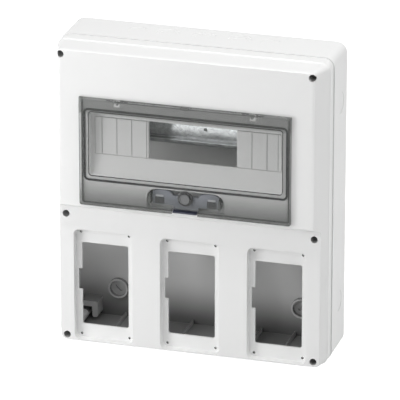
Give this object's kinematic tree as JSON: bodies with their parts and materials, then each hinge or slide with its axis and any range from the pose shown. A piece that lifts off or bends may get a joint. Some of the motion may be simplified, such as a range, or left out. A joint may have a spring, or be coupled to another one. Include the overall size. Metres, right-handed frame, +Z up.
{
  "type": "breaker panel box",
  "caption": "Wall-mounted breaker panel box: drafted plastic shell with a hinged smoked window over a module rail, a rocker latch, and socket seats with cut-outs below.",
  "frame": {"origin": "middle of the flat back face that goes on the wall", "axes": "+X to the right seen from the front, +Y from the front to the wall, +Z up"},
  "size_m": [0.32, 0.1083, 0.366],
  "materials": {
    "white_shell": "fine satin moulding",
    "smoked_plastic": "clear, smoke-tinted, polished",
    "black_rubber": "matt",
    "navy_plastic": "satin",
    "grey_plastic": "satin",
    "galvanised_steel": "galvanised sheet",
    "screw_steel": "plain"
  },
  "bodies": {
    "box": {"rear_base": "white_shell", "base_gasket": "black_rubber", "front_cover": "white_shell", "cover_screw_top_left": "screw_steel", "cover_screw_top_right": "screw_steel", "cover_screw_mid_left": "screw_steel", "cover_screw_mid_right": "screw_steel", "cover_screw_low_left": "screw_steel", "cover_screw_low_right": "screw_steel", "blank_strip_left": "white_shell", "blank_strip_right": "white_shell", "din_rail": "galvanised_steel", "rail_screw_left": "screw_steel", "rail_screw_right": "screw_steel", "hinge_pin_left": "screw_steel", "hinge_pin_right": "screw_steel"},
    "door": {"window_door": "smoked_plastic", "door_seal": "black_rubber", "lock_plug": "grey_plastic", "latch_pin_left": "screw_steel", "latch_pin_right": "screw_steel"},
    "latch": {"latch_handle": "navy_plastic"}
  },
  "joints": [
    {"name": "door_hinge", "type": "hinge", "parent": "box", "child": "door", "pos_m": [0, -0.1063, 0.12405], "axis": [-1, 0, 0], "range_deg": [0, 110]},
    {"name": "latch_pivot", "type": "hinge", "parent": "door", "child": "latch", "pos_m": [0, -0.1, 0.01295], "axis": [-1, 0, 0], "range_deg": [0, 12]}
  ]
}
